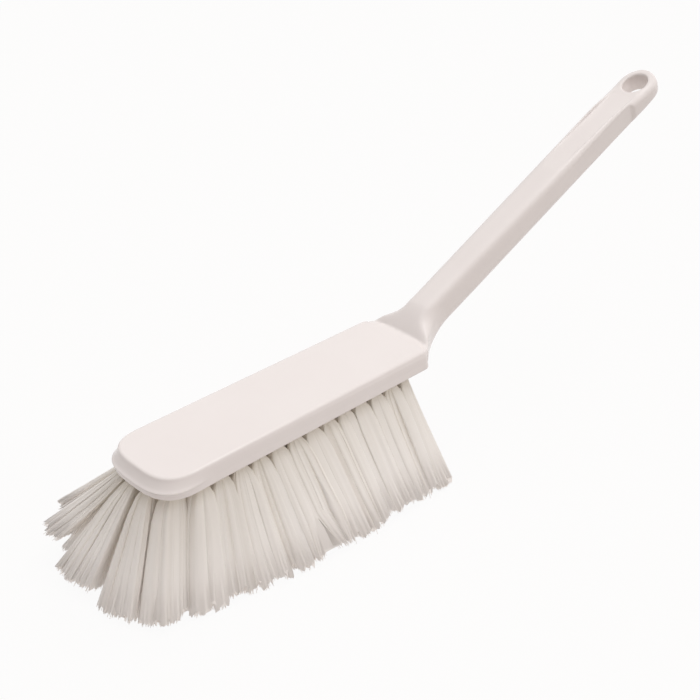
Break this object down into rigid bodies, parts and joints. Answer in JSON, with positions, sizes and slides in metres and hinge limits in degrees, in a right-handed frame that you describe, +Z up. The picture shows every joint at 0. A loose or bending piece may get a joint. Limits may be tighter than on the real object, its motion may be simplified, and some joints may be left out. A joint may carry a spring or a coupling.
{
  "type": "hand broom",
  "caption": "Long-handled hand broom: a moulded block with an upswept handle and hanging hole, and flared filament tufts.",
  "frame": {"origin": "the middle of the block's flat top face", "axes": "+X from the toe of the block to the handle, +Z up out of the flat top face, +Y to the side that the toe tufts sweep toward"},
  "size_m": [0.4029, 0.1088, 0.1734],
  "materials": {
    "moulded_plastic": "smooth moulded warm white, softly glossy",
    "filament": "translucent cream-white extruded filament"
  },
  "bodies": {
    "root": {"block_and_handle": "moulded_plastic", "tuft_inner_far_01": "filament", "tuft_inner_far_02": "filament", "tuft_inner_far_03": "filament", "tuft_inner_far_04": "filament", "tuft_inner_far_05": "filament", "tuft_inner_far_06": "filament", "tuft_inner_far_07": "filament", "tuft_inner_far_08": "filament", "tuft_inner_far_09": "filament", "tuft_inner_far_10": "filament", "tuft_inner_far_11": "filament", "tuft_inner_far_12": "filament", "tuft_inner_far_13": "filament", "tuft_inner_near_01": "filament", "tuft_inner_near_02": "filament", "tuft_inner_near_03": "filament", "tuft_inner_near_04": "filament", "tuft_inner_near_05": "filament", "tuft_inner_near_06": "filament", "tuft_inner_near_07": "filament", "tuft_inner_near_08": "filament", "tuft_inner_near_09": "filament", "tuft_inner_near_10": "filament", "tuft_inner_near_11": "filament", "tuft_inner_near_12": "filament", "tuft_inner_near_13": "filament", "tuft_outer_far_01": "filament", "tuft_outer_far_02": "filament", "tuft_outer_far_03": "filament", "tuft_outer_far_04": "filament", "tuft_outer_far_05": "filament", "tuft_outer_far_06": "filament", "tuft_outer_far_07": "filament", "tuft_outer_far_08": "filament", "tuft_outer_far_09": "filament", "tuft_outer_far_10": "filament", "tuft_outer_far_11": "filament", "tuft_outer_far_12": "filament", "tuft_outer_far_13": "filament", "tuft_outer_near_01": "filament", "tuft_outer_near_02": "filament", "tuft_outer_near_03": "filament", "tuft_outer_near_04": "filament", "tuft_outer_near_05": "filament", "tuft_outer_near_06": "filament", "tuft_outer_near_07": "filament", "tuft_outer_near_08": "filament", "tuft_outer_near_09": "filament", "tuft_outer_near_10": "filament", "tuft_outer_near_11": "filament", "tuft_outer_near_12": "filament", "tuft_outer_near_13": "filament", "tuft_toe_inner_far": "filament", "tuft_toe_inner_near": "filament", "tuft_toe_outer_far": "filament", "tuft_toe_outer_near": "filament"}
  },
  "joints": []
}
